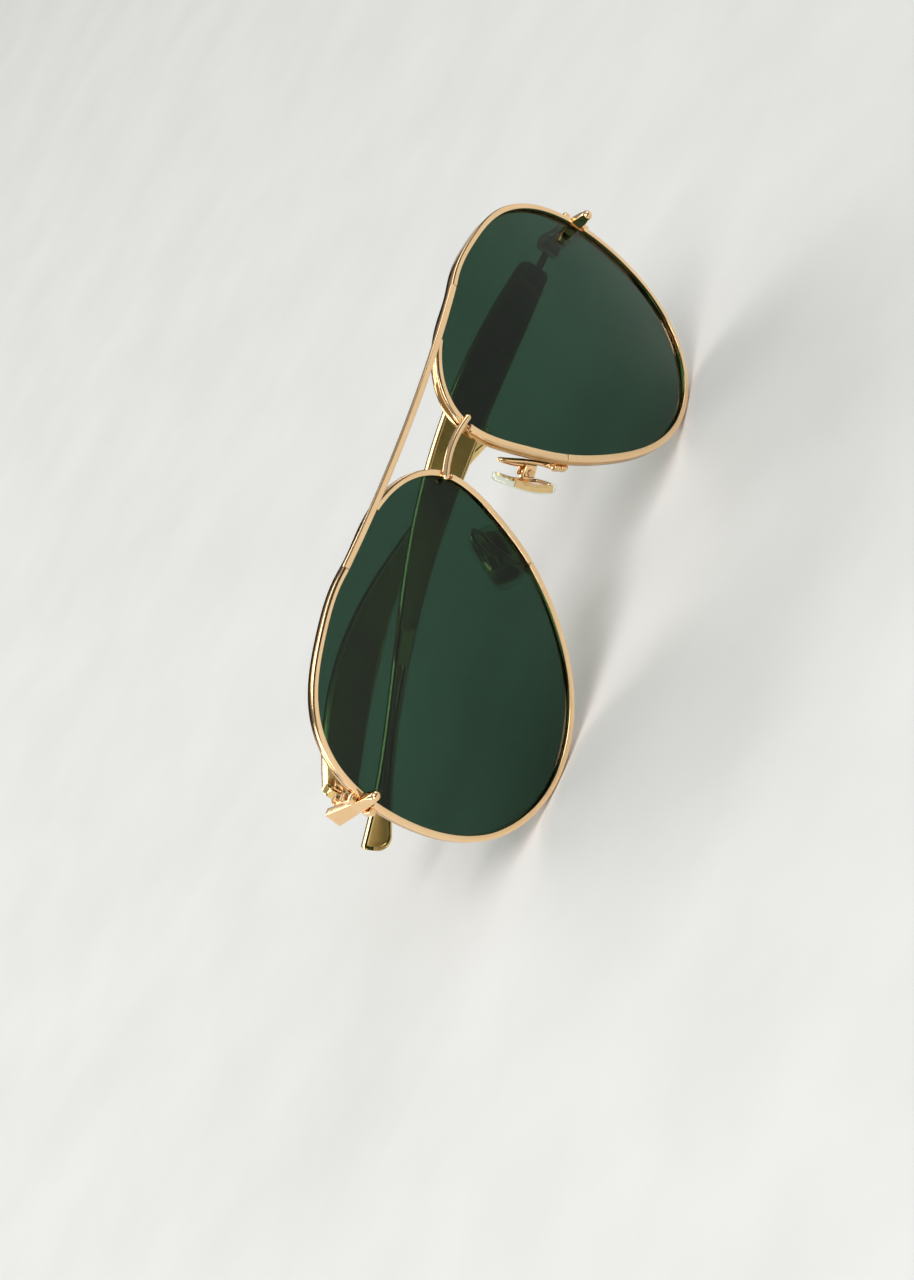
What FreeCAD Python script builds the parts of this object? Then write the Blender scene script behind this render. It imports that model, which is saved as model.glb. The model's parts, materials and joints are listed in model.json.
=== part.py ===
"""Metal aviator sunglasses, folded. Millimetres.

+X is the wearer's left, +Y points back towards the head, +Z is up. The origin is on the plane of
symmetry, level with the middle of the lenses, at the depth of the nasal edges of the rims.
Every left piece is built at +X and its partner is the mirror image. The temples are drawn open
and then turned about their hinge pins to the angles at which they lie folded.
"""
import FreeCAD
import Part
import math
import os

V = FreeCAD.Vector
os.makedirs("parts", exist_ok=True)

# ---- driving dimensions -------------------------------------------------------------
LENS_W = 64.0            # boxed lens width
BRIDGE_W = 13.0          # distance between the lenses
BASE_R = 152.0           # sphere that the front of both rims lies on
WRAP = 11.2              # each rim is turned back by this many degrees
STRIP_W = 1.25           # front trim strip: width across and depth
STRIP_T = 0.7
WIRE_W = 1.0             # eyewire behind it, its inner edge this much over two from the middle line
WIRE_T = 1.6
GROOVE_W = 0.7
GROOVE_D = 0.35
LENS_T = 1.3
LENS_Z0 = 13.6           # height of the sphere's crown above the datum line

HINGE_X = 67.7           # hinge pins
HINGE_Y = 23.4
HINGE_Z = 5.3
FOLD_LEFT = 72.6         # how far each temple is folded in from straight back
FOLD_RIGHT = 61.8
TEMPLE_L = 131.0         # along the temple from the pin, without its drop
TEMPLE_SWEEP = 14.0      # degrees that the temple curves inwards over its length
TEMPLE_T = 2.0

BALL_R = 1.05            # nose of the side arm, in front of the rim
ARM_T = 1.6
ARM_X = 70.0
ARM_Y0 = 8.4
ARM_Y1 = 26.6
ARM_Z0 = 5.6
ARM_H1 = 4.4

BROW_Z = 30.2
BROW_H = 1.4
BROW_Y0 = -0.9

BAR_R = 0.74             # bridge bar
BAR_X = 7.0
BAR_Z = 18.9
BAR_RISE = 0.9

PIN_R = 0.60             # hinge pins and knuckles
KNUCKLE_R = 1.25
RUN = 0.05               # radial clearance of anything that turns

PAD_C = V(8.64, 12.64, -2.74)
PAD_DOWN = V(0.43, 0.144, -0.891)
PAD_BACK = V(0.5, 0.866, 0.0)
PAD_L = 13.6
PAD_W = 8.0

# middle line of the rim, seen square on, from its temporal side round over the top.
# First number outwards from the middle of the lens, second number up.
OUTLINE = [(28.8, 16.6), (23.0, 23.0), (9.1, 28.8), (-1.6, 30.3), (-6.7, 30.0), (-14.9, 29.9),
           (-29.7, 23.6), (-31.8, 20.1), (-30.1, 5.2), (-26.7, -3.1), (-18.2, -15.5), (-6.0, -26.1),
           (12.1, -30.0), (23.2, -24.9), (32.6, -1.3)]

EDGE_U = (LENS_W + 1.2) / 2
PIVOT_X = (BRIDGE_W - 1.2) / 2
CROWN = -(BASE_R - math.sqrt(BASE_R ** 2 - EDGE_U ** 2))
CENTRE = V(0, CROWN + BASE_R, LENS_Z0)

LEFT = {}
SHARED = {}


# ---- helpers ------------------------------------------------------------------------
def save(name, shape):
    shape.exportStep("parts/" + name + ".step")


def mirrored(shape):
    return shape.mirror(V(0, 0, 0), V(1, 0, 0))


def closed_curve(points):
    curve = Part.BSplineCurve()
    curve.interpolate(Points=[V(p[0], 0, p[1]) for p in points], PeriodicFlag=True)
    return curve


MASTER = closed_curve(OUTLINE)
SAMPLES = 56


def offset_points(distance):
    """Points of the outline moved outwards by distance."""
    first = MASTER.FirstParameter
    step = (MASTER.LastParameter - first) / SAMPLES
    points = []
    for k in range(SAMPLES):
        p = MASTER.value(first + k * step)
        t = MASTER.tangent(first + k * step)[0]
        t.normalize()
        points.append((p.x + t.z * distance, p.z - t.x * distance))
    return points


def prism(distance):
    """Solid of the outline, offset by distance, running through the rim from front to back."""
    wire = Part.Wire([closed_curve(offset_points(distance)).toShape()])
    face = Part.Face(wire)
    face.translate(V(0, -8, 0))
    return face.extrude(V(0, 30, 0))


def ball(radius):
    return Part.makeSphere(radius, CENTRE)


def ring(outer, inner, front, depth):
    """Ring between two offsets of the outline, front being how far behind the trim's face it starts."""
    shape = prism(outer).common(ball(BASE_R - front))
    shape = shape.cut(ball(BASE_R - front - depth))
    if inner is not None:
        shape = shape.cut(prism(inner))
    return shape


def to_head(shape):
    """From the lens's own square-on position to its place in the frame, wearer's left."""
    shape = shape.copy()
    shape.translate(V(EDGE_U, 0, 0))
    shape.rotate(V(0, 0, 0), V(0, 0, 1), WRAP)
    shape.translate(V(PIVOT_X, 0, 0))
    return shape


def on_rim(u, up, behind=0.0):
    """Place on the front sphere, given square-on position, in the frame's coordinates."""
    r2 = u * u + (up - LENS_Z0) ** 2
    n = CENTRE.y - math.sqrt((BASE_R - behind) ** 2 - r2)
    a = math.radians(WRAP)
    x = (u + EDGE_U) * math.cos(a) - n * math.sin(a) + PIVOT_X
    y = (u + EDGE_U) * math.sin(a) + n * math.cos(a)
    return V(x, y, up)


def box_at(centre, size, angle_y=0.0, angle_z=0.0):
    shape = Part.makeBox(size[0], size[1], size[2], V(-size[0] / 2, -size[1] / 2, -size[2] / 2))
    shape.rotate(V(0, 0, 0), V(0, 1, 0), angle_y)
    shape.rotate(V(0, 0, 0), V(0, 0, 1), angle_z)
    shape.translate(centre)
    return shape


def one_solid(shape):
    solids = sorted(shape.Solids, key=lambda s: s.Volume)
    return solids[-1]


def disc(radius, centre, along):
    return Part.Face(Part.Wire([Part.makeCircle(radius, centre, along)]))


def bent_wire(corners, bends, radius):
    """Round wire in straight runs between corners, each corner turned on its own bend radius."""
    pieces = []
    start = corners[0]
    for k in range(1, len(corners)):
        ahead = corners[k] - corners[k - 1]
        ahead.normalize()
        if k == len(corners) - 1:
            pieces.append(disc(radius, start, ahead).extrude(corners[k] - start))
            break
        beyond = corners[k + 1] - corners[k]
        beyond.normalize()
        turn = ahead.getAngle(beyond)
        bend = bends[k - 1]
        stop = corners[k] - ahead * (bend * math.tan(turn / 2))
        pieces.append(disc(radius, start, ahead).extrude(stop - start))
        inwards = beyond - ahead * ahead.dot(beyond)
        inwards.normalize()
        axis = ahead.cross(beyond)
        centre = stop + inwards * bend
        pieces.append(disc(radius, stop, ahead).revolve(centre, axis, math.degrees(turn)))
        start = corners[k] + beyond * (bend * math.tan(turn / 2))
    return pieces[0].fuse(pieces[1:]).removeSplitter()


# ---- rims, trim strips, lenses --------------------------------------------------------
NOSE_CUT = (-25.9, -5.1)
BROW_CUT = (-4.4, 30.2)
BAR_CUT = (-32.4, BAR_Z - 0.6)
ARM_GAP_Z = ARM_Z0 - 0.1
ARM_GAP_H = 3.3
JOIN_U = -18.5


def front_parts():
    half = STRIP_W / 2
    strip = ring(half, -half, 0.0, STRIP_T)
    fine = 0.16
    cutters = [
        box_at(V(NOSE_CUT[0], 0, NOSE_CUT[1]), (4, 30, fine), 33),
        box_at(V(BAR_CUT[0], 0, BAR_CUT[1]), (4, 30, 2 * BAR_R + 0.3), 0),
        box_at(V(EDGE_U - 1, 0, ARM_GAP_Z), (6, 40, ARM_GAP_H), 0),
        # the brow bar takes the strip's place along the top
        box_at(V((BROW_CUT[0] + JOIN_U) / 2, 0, 30), (BROW_CUT[0] - JOIN_U, 30, 6), 0),
    ]
    for cutter in cutters:
        strip = strip.cut(cutter)
    names = {}
    for solid in strip.Solids:
        if solid.Volume < 0.3:
            continue
        c = solid.CenterOfMass
        box = solid.BoundBox
        if box.ZMax > 28 and c.x > 0:
            names["strip_temporal"] = solid
        elif box.ZMax > 28:
            names["strip_upper_nasal"] = solid
        elif box.ZMin < -28:
            names["strip_cheek"] = solid
        else:
            names["strip_lower_nasal"] = solid
    for name, solid in names.items():
        LEFT[name] = to_head(solid)

    w = WIRE_W / 2
    wire = ring(half, -w, STRIP_T, WIRE_T)
    mid = STRIP_T + WIRE_T / 2
    groove = ring(-w + GROOVE_D, -w - 1.0, mid - GROOVE_W / 2, GROOVE_W)
    wire = wire.cut(groove)
    wire = wire.cut(box_at(V(EDGE_U - 1, 0, ARM_GAP_Z), (6, 40, ARM_GAP_H), 0))
    LEFT["eyewire"] = to_head(one_solid(wire))

    body = ring(-w - 0.05, None, mid - LENS_T / 2, LENS_T)
    tongue = ring(-w + GROOVE_D - 0.05, None, mid - GROOVE_W / 2 + 0.05, GROOVE_W - 0.1)
    LEFT["lens"] = to_head(body.fuse(tongue).removeSplitter())


# ---- brow bar and bridge bar ---------------------------------------------------------
def bars():
    end = on_rim(BROW_CUT[0] - 0.15, BROW_Z)
    radius = (end.x ** 2 + (end.y - BROW_Y0) ** 2) / (2 * (end.y - BROW_Y0))
    centre = V(0, BROW_Y0 + radius, BROW_Z - BROW_H / 2)
    bar = Part.makeCylinder(radius, BROW_H, centre).cut(Part.makeCylinder(radius - 0.9, BROW_H, centre))
    bar = bar.common(Part.makeBox(2 * end.x, 20, 10, V(-end.x, -5, BROW_Z - 5)))
    bar = one_solid(bar)
    for solid in (LEFT["eyewire"], LEFT["lens"], LEFT["strip_temporal"], LEFT["strip_upper_nasal"]):
        bar = bar.cut(solid).cut(mirrored(solid))
    bar = one_solid(bar)
    edges = [e for e in bar.Edges if e.Length > 50]
    try:
        softer = bar.makeFillet(0.18, edges)
        if softer.isValid():
            bar = softer
    except Exception as error:
        print("brow bar edges stay square:", error)
    SHARED["brow_bar"] = bar

    # the bar arches over the nose and both its ends turn back through the rims
    bend = 1.3
    front_y = -0.15
    crown = V(0, front_y, BAR_Z + BAR_RISE)
    arch = Part.Arc(V(-BAR_X + bend, front_y, BAR_Z + 0.25), crown, V(BAR_X - bend, front_y, BAR_Z + 0.25))
    arch_edge = arch.toShape()
    leave = arch_edge.tangentAt(arch_edge.LastParameter)
    a = arch_edge.valueAt(arch_edge.LastParameter)
    centre = a + V(0, bend, 0)
    c45 = centre + leave * (bend * math.sin(math.pi / 4)) + V(0, -bend * math.cos(math.pi / 4), 0)
    b = centre + leave * bend
    turn = Part.Arc(a, c45, b).toShape()
    tail = Part.LineSegment(b, b + V(0, 1.7, 0)).toShape()
    turn_m = mirrored(turn)
    tail_m = mirrored(tail)
    path = Part.Wire(Part.__sortEdges__([tail_m, turn_m, arch_edge, turn, tail]))
    start = b + V(0, 1.7, 0)
    section = Part.Wire([Part.makeCircle(BAR_R, start, V(0, 1, 0))])
    pipe = path.makePipeShell([section], True, True)
    ends = [Part.makeSphere(BAR_R, start), Part.makeSphere(BAR_R, V(-start.x, start.y, start.z))]
    bar = pipe.fuse(ends).removeSplitter()
    SHARED["bridge_bar"] = one_solid(bar)


# ---- side arms -----------------------------------------------------------------------
def side_arm():
    y0 = ARM_Y0
    y1 = ARM_Y1
    h0 = BALL_R * 0.92
    h1 = ARM_H1 / 2
    z0 = ARM_Z0
    z1 = HINGE_Z
    a = V(ARM_X - ARM_T / 2, y0, z0 + h0)
    b = V(ARM_X - ARM_T / 2, y1 - 0.7, z1 + h1)
    m = V(ARM_X - ARM_T / 2, y1, z1)
    c = V(ARM_X - ARM_T / 2, y1 - 0.7, z1 - h1)
    d = V(ARM_X - ARM_T / 2, y0, z0 - h0)
    outline = Part.Wire([Part.LineSegment(a, b).toShape(), Part.Arc(b, m, c).toShape(),
                         Part.LineSegment(c, d).toShape(), Part.LineSegment(d, a).toShape()])
    plate = Part.Face(outline).extrude(V(ARM_T, 0, 0))
    long_edges = [e for e in plate.Edges if e.Length > 10]
    plate = plate.makeFillet(0.25, long_edges)
    nose = Part.makeSphere(BALL_R, V(ARM_X, y0, z0))
    arm = plate.fuse(nose).removeSplitter()
    return arm


def closing_blocks():
    """Lugs above and below the side arm close the rim on it with one upright screw."""
    solids = []
    base = on_rim(31.9, ARM_GAP_Z)
    for sign in (1, -1):
        z = ARM_GAP_Z + sign * (ARM_GAP_H / 2 + 0.75)
        lug = box_at(V(base.x + 0.95, base.y + 2.6, z), (2.1, 3.8, 1.5), 0, WRAP)
        lug = lug.makeFillet(0.3, [e for e in lug.Edges if abs(e.tangentAt(e.FirstParameter).z) > 0.9])
        solids.append(lug)
    return solids, V(base.x + 1.05, base.y + 3.7, ARM_GAP_Z)


# ---- hinge ---------------------------------------------------------------------------
KNUCKLE_H = 1.42
AXIAL = 0.12
LEAF_Y0 = 5.2
WELD = 1.5               # the temple's inner face lies this far outside the pin


def hinge_parts():
    x = HINGE_X
    y = HINGE_Y
    low = HINGE_Z - 1.5 * KNUCKLE_H
    inner = ARM_X - ARM_T / 2
    front = Part.makeBox(0.7, LEAF_Y0 - 1.7, 3 * KNUCKLE_H, V(inner - 0.7, y - LEAF_Y0, low))
    for z in (low, low + 2 * KNUCKLE_H + AXIAL):
        height = KNUCKLE_H - AXIAL
        front = front.fuse(Part.makeCylinder(KNUCKLE_R, height, V(x, y, z)))
        front = front.fuse(Part.makeBox(inner - x, 3.0, height, V(x, y - 3.0, z)))
    front = front.cut(Part.makeCylinder(PIN_R, 12, V(x, y, HINGE_Z - 6))).removeSplitter()

    z = low + KNUCKLE_H
    rear = Part.makeCylinder(KNUCKLE_R, KNUCKLE_H, V(x, y, z))
    rear = rear.fuse(Part.makeBox(1.0, 5.6, KNUCKLE_H, V(x - 0.2, y, z)))
    foot = Part.makeBox(WELD - 0.6, 4.2, 3 * KNUCKLE_H, V(x + 0.6, y + 4.2, low))
    foot = foot.makeFillet(0.6, [e for e in foot.Edges if abs(e.tangentAt(e.FirstParameter).x) > 0.9])
    rear = rear.fuse(foot)
    rear = rear.cut(Part.makeCylinder(PIN_R + RUN, 12, V(x, y, HINGE_Z - 6))).removeSplitter()

    shank = Part.makeCylinder(PIN_R, 3 * KNUCKLE_H, V(x, y, low))
    head = Part.makeCylinder(1.0, 0.45, V(x, y, low + 3 * KNUCKLE_H))
    head = head.makeFillet(0.15, [e for e in head.Edges if e.BoundBox.ZMin > low + 3 * KNUCKLE_H + 0.4])
    slot = Part.makeBox(2.4, 0.3, 0.4, V(x - 1.2, y - 0.15, low + 3 * KNUCKLE_H + 0.25))
    screw = shank.fuse(head).removeSplitter().cut(slot)
    return front, rear, screw


# ---- temple --------------------------------------------------------------------------
# along the temple, top edge and bottom edge, both as heights from the middle of the hinge
PROFILE = [(0.0, 2.9, -3.3), (14.6, 4.4, -4.3), (29.1, 4.7, -4.9), (43.7, 3.6, -5.7), (58.2, 1.2, -6.7),
           (72.8, -2.5, -8.3), (87.3, -7.0, -10.8), (101.9, -11.6, -14.1), (116.4, -15.5, -18.45),
           (131.0, -17.9, -24.3)]
SWEEP_R = TEMPLE_L / math.radians(TEMPLE_SWEEP)
PLATE_S = 2.7            # the plate starts here
HOLLOW_D = 0.35
BAND = 0.8
STRIP_S = 86.0           # the long hollow ends here and the one in the tip begins after a short strip
TIP_S = 92.5
TIP_END = 130.2
TIP_SLOPE = 2.6         # the lower edge ends this much earlier than the upper


def edge_curve(column, shift):
    curve = Part.BSplineCurve()
    curve.interpolate([V(0, p[0], p[column] + shift) for p in PROFILE])
    return curve


TOP = edge_curve(1, 0.0)
LOW = edge_curve(2, 0.0)


def height(curve, s):
    line = Part.Line(V(0, s, 0), V(0, s, 1))
    return curve.intersectCC(line)[0].Z


def side_face(s0, s1, top_in, low_in, tip_slope):
    """Face between the temple's edges, moved in by the given widths, from s0 to s1."""
    count = 14
    tops = []
    lows = []
    for k in range(count + 1):
        s = s0 + (s1 - s0) * k / count
        tops.append(V(0, s, height(TOP, min(max(s, 0.0), 131.0)) - top_in))
        lows.append(V(0, s - tip_slope * k / count, height(LOW, min(max(s, 0.0), 131.0)) + low_in))
    up = Part.BSplineCurve()
    up.interpolate(tops)
    down = Part.BSplineCurve()
    down.interpolate(list(reversed(lows)))
    edges = [up.toShape(), Part.LineSegment(tops[-1], lows[-1]).toShape(), down.toShape(),
             Part.LineSegment(lows[0], tops[0]).toShape()]
    return Part.Face(Part.Wire(edges))


def slab(face, out0, out1, rounds):
    """The face made solid between two curved surfaces, out0 and out1 outside the inner face."""
    block = face.copy()
    block.translate(V(-30, 0, 0))
    block = block.extrude(V(50, 0, 0))
    for s, low, radius in rounds:
        near = [e for e in block.Edges if e.Length > 49 and abs(e.valueAt(e.FirstParameter).y - s) < 6]
        near.sort(key=lambda e: e.valueAt(e.FirstParameter).z)
        block = block.makeFillet(radius, [near[0] if low else near[-1]])
    centre = V(-SWEEP_R, 0, -60)
    shell = Part.makeCylinder(SWEEP_R + out1, 120, centre).cut(Part.makeCylinder(SWEEP_R + out0, 120, centre))
    return one_solid(block.common(shell))


def temple_plate():
    whole = side_face(PLATE_S, TIP_END, 0.0, 0.0, TIP_SLOPE)
    plate = slab(whole, 0.0, TEMPLE_T, [(TIP_END, True, 3.1), (TIP_END, False, 0.9),
                                        (PLATE_S, True, 1.4), (PLATE_S, False, 1.4)])
    for out0, out1 in ((-1.0, HOLLOW_D), (TEMPLE_T - HOLLOW_D, TEMPLE_T + 1.0)):
        drop = slab(side_face(PLATE_S + 0.9, STRIP_S, BAND, BAND, 0.0), out0, out1,
                    [(PLATE_S, True, 0.9), (PLATE_S, False, 0.9)])
        plate = plate.cut(drop)
        tip = slab(side_face(TIP_S, TIP_END - 0.9, BAND, BAND + 0.5, TIP_SLOPE), out0, out1,
                   [(TIP_END, True, 2.1), (TIP_END, False, 0.5)])
        plate = plate.cut(tip)
    plate = one_solid(plate)
    plate.translate(V(HINGE_X + WELD, HINGE_Y + 1.3, HINGE_Z))
    return plate


# ---- nose pads -----------------------------------------------------------------------
PIN_BACK = 2.75          # the pad's pin runs this far behind the middle of the pad
BOX_W = 2.9
LUG_W = 1.3
PAD_PIN_R = 0.42


def pad_frame():
    down = V(PAD_DOWN)
    down.normalize()
    nose = V(PAD_BACK).cross(down)
    nose.normalize()
    if nose.x > 0:
        nose = nose * -1
    back = down.cross(nose)
    if back.y < 0:
        back = back * -1
    return down, back, nose


def pad_place(shape):
    """From pad coordinates, x down the pad, y back, z towards the nose, to the frame's."""
    down, back, nose = pad_frame()
    if down.cross(back).dot(nose) < 0:
        shape = shape.mirror(V(0, 0, 0), V(0, 1, 0))
        back = back * -1
    matrix = FreeCAD.Matrix(down.x, back.x, nose.x, PAD_C.x, down.y, back.y, nose.y, PAD_C.y,
                            down.z, back.z, nose.z, PAD_C.z, 0, 0, 0, 1)
    return moved(shape, matrix)


def moved(shape, matrix):
    shape = shape.copy()
    shape.Placement = FreeCAD.Placement(matrix).multiply(shape.Placement)
    return shape


def pad_parts():
    bow = 26.0           # the pad bends along its length round a cylinder, hollow side to the rim
    outer = Part.makeCylinder(bow, 40, V(0, -20, 1.1 - bow), V(0, 1, 0))
    inner = Part.makeCylinder(bow - 1.9, 40, V(0, -20, 1.1 - bow), V(0, 1, 0))
    sheet = Part.makeBox(PAD_L, PAD_W, 9, V(-PAD_L / 2, -PAD_W / 2, -4.5))
    uprights = [e for e in sheet.Edges if abs(e.tangentAt(e.FirstParameter).z) > 0.9]
    sheet = sheet.makeFillet(3.2, uprights)
    soft = sheet.common(outer).cut(inner)
    soft = one_solid(soft)
    for radius in (0.5, 0.35, 0.2):
        rims = [e for e in soft.Edges if e.BoundBox.ZLength < 2 and e.Length > 1.0]
        try:
            rounder = soft.makeFillet(radius, rims)
        except Exception:
            continue
        if rounder.isValid() and 0 < rounder.Volume < soft.Volume:
            soft = rounder
            break
    # metal plate let into the hollow side
    p_out = Part.makeCylinder(bow - 1.2, 40, V(0, -20, 1.1 - bow), V(0, 1, 0))
    p_in = Part.makeCylinder(bow - 1.9, 40, V(0, -20, 1.1 - bow), V(0, 1, 0))
    core = Part.makeBox(11.0, 5.6, 9, V(-5.5, -2.8, -4.5))
    core = core.makeFillet(2.0, [e for e in core.Edges if abs(e.tangentAt(e.FirstParameter).z) > 0.9])
    plate = one_solid(core.common(p_out).cut(p_in))
    clear = Part.makeCylinder(bow - 4, 40, V(0, -20, 1.1 - bow), V(0, 1, 0))
    soft = one_solid(soft.cut(core.common(p_out).cut(clear)))
    lug = Part.makeBox(2.0, LUG_W, PIN_BACK - 0.2, V(-1.0, -LUG_W / 2, -PIN_BACK))
    eye = Part.makeCylinder(1.0, LUG_W, V(0, -LUG_W / 2, -PIN_BACK), V(0, 1, 0))
    lug = lug.fuse(eye)
    plate = plate.fuse(lug)
    hole = Part.makeCylinder(PAD_PIN_R + RUN, 12, V(0, -6, -PIN_BACK), V(0, 1, 0))
    plate = one_solid(plate.cut(hole).removeSplitter())
    # box that holds the lug
    h = 1.4
    box = Part.makeBox(2 * h, BOX_W, 2.9, V(-h, -BOX_W / 2, -PIN_BACK - 1.75))
    box = box.makeFillet(0.45, [e for e in box.Edges if e.BoundBox.ZMax < -PIN_BACK - 1.7])
    box = box.cut(Part.makeBox(2 * h + 1, LUG_W + 0.3, 3.0, V(-h - 0.5, -LUG_W / 2 - 0.15, -PIN_BACK - 1.2)))
    box = box.cut(Part.makeCylinder(PAD_PIN_R, 12, V(0, -6, -PIN_BACK), V(0, 1, 0)))
    pin = Part.makeCylinder(PAD_PIN_R, BOX_W, V(0, -BOX_W / 2, -PIN_BACK), V(0, 1, 0))
    # the screw goes in from the front, where y is lowest
    head = Part.makeCylinder(0.75, 0.3, V(0, -BOX_W / 2 - 0.3, -PIN_BACK), V(0, 1, 0))
    head = head.cut(Part.makeBox(2, 0.16, 0.24, V(-1, -BOX_W / 2 - 0.31, -PIN_BACK - 0.12)))
    screw = pin.fuse(head).removeSplitter()
    return soft, plate, box, screw


# pad arm: foot on the rim, up alongside it, over in a tight turn and down into the box
ARM_WIRE_R = 0.5
SOLDER = 0.05            # joint between the foot and the rim
FOOT = V(12.5, 4.55, -5.3)


def pad_arm(box):
    down, back, nose = pad_frame()
    seat = V(PAD_C) - nose * (PIN_BACK + 1.75) - down * 0.3
    corners = [FOOT + V(-0.3, 0.7, 0.9), V(11.4, 6.6, -1.6), V(8.28, 8.49, 5.75), V(8.98, 9.81, 5.75),
               V(10.6, 10.2, 1.2), seat - nose * 0.05]
    wire = bent_wire(corners, [3.0, 0.7, 0.7, 3.0], ARM_WIRE_R)
    foot = Part.makeBox(3.4, 2.0, 1.9, V(-1.7, -1.0, -0.95))
    foot = foot.makeFillet(0.4, foot.Edges)
    foot = foot.cut(Part.makeBox(0.22, 0.9, 3, V(-0.1, -1.2, -1.5)))
    foot.rotate(V(0, 0, 0), V(0, 1, 0), 60)
    foot.rotate(V(0, 0, 0), V(0, 0, 1), WRAP)
    foot.translate(FOOT)
    foot = foot.common(to_head(ball(BASE_R - STRIP_T - WIRE_T - SOLDER)))
    arm = wire.cut(box).fuse(foot)
    return one_solid(arm)


# ---- assembly ------------------------------------------------------------------------
def folded(shape, degrees, mirror_it):
    shape = shape.copy()
    shape.rotate(V(HINGE_X, HINGE_Y, HINGE_Z), V(0, 0, 1), degrees)
    return mirrored(shape) if mirror_it else shape


def build():
    front_parts()
    bars()
    arm = side_arm()
    lugs, hole = closing_blocks()
    screw = Part.makeCylinder(0.5, 6.9, hole - V(0, 0, 3.3))
    head = Part.makeCylinder(0.9, 0.5, hole + V(0, 0, 3.2))
    head = head.cut(Part.makeBox(2, 0.25, 0.3, hole + V(-1, -0.125, 3.45)))
    screw = screw.common(Part.makeBox(4, 4, 6.5, hole - V(2, 2, 3.3))).fuse(head).removeSplitter()
    LEFT["closing_screw"] = screw
    LEFT["side_arm"] = arm.cut(screw)
    eyewire = LEFT["eyewire"]
    for name, lug in zip(("closing_lug_upper", "closing_lug_lower"), lugs):
        lug = lug.cut(screw).cut(LEFT["lens"]).cut(LEFT["strip_temporal"]).cut(LEFT["strip_cheek"])
        LEFT[name] = one_solid(lug.cut(eyewire))

    front, rear, pin = hinge_parts()
    LEFT["hinge_front"] = front
    LEFT["hinge_screw"] = pin
    plate = temple_plate()
    rear = one_solid(rear.cut(plate))
    soft, insert, box, pad_screw = [pad_place(s) for s in pad_parts()]
    LEFT["pad_arm"] = pad_arm(box)
    LEFT["pad_box"] = box
    LEFT["pad_screw"] = pad_screw
    LEFT["pad_plate"] = insert
    LEFT["pad_cushion"] = soft

    bar = SHARED["bridge_bar"]
    for name in ("eyewire", "lens"):
        bar = bar.cut(LEFT[name]).cut(mirrored(LEFT[name]))
    bar = one_solid(bar)
    SHARED["bridge_bar"] = bar
    for name in ("strip_upper_nasal", "strip_lower_nasal"):
        LEFT[name] = one_solid(LEFT[name].cut(bar))

    nodes = {}
    for name, shape in LEFT.items():
        nodes[name + "_left"] = shape
        nodes[name + "_right"] = mirrored(shape)
    nodes.update(SHARED)
    for side, turn, flip in (("left", FOLD_LEFT, False), ("right", FOLD_RIGHT, True)):
        nodes["temple_" + side] = folded(plate, turn, flip)
        nodes["temple_hinge_" + side] = folded(rear, turn, flip)
    for name, shape in nodes.items():
        save(name, shape)
        ok = shape.isValid() and len(shape.Solids) == 1
        print(name, "ok" if ok else "CHECK", len(shape.Solids), round(shape.Volume, 3))


build()
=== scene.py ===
"""Looks of the metal aviator sunglasses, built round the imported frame. Metres; mesh code in millimetres."""
import json
import math

import bpy
import numpy as np
from mathutils import Matrix, Vector


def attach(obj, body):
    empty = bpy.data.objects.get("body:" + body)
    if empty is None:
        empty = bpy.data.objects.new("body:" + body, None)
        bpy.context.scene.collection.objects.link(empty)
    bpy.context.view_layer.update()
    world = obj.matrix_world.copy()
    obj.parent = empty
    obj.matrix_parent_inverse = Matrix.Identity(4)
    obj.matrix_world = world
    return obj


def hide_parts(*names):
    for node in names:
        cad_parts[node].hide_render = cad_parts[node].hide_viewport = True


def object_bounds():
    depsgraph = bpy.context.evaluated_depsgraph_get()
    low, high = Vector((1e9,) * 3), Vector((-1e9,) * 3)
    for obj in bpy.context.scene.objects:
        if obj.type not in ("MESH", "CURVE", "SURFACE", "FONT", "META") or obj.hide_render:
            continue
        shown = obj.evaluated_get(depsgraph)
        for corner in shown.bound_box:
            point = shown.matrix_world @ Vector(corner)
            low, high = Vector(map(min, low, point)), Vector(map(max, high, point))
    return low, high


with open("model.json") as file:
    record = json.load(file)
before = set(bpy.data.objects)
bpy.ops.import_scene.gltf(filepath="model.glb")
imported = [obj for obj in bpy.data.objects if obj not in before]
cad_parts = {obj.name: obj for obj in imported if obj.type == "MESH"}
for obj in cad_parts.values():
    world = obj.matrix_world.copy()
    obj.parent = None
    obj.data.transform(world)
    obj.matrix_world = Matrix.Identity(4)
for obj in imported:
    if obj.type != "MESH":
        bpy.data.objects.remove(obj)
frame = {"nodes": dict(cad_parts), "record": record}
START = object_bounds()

MM = 0.001
RECORD = frame["record"]
JOINTS = {j["name"]: j for j in RECORD["behaviour"]["joints"]}

# ---- shared shape ----------------------------------------------------------------------
LENS_W, BRIDGE_W = 64.0, 13.0       # lens width, and the distance between the lenses
RIM_EXTRA = 1.2                     # the rim's middle line is this much wider than the lens
BASE_R = 152.0                      # radius of the sphere that each lens follows
WRAP_DEG = 11.2                     # each lens is turned back by this much
WRAP = math.radians(WRAP_DEG)
CROWN_Z = 13.6                      # height of the sphere's foremost point
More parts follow.
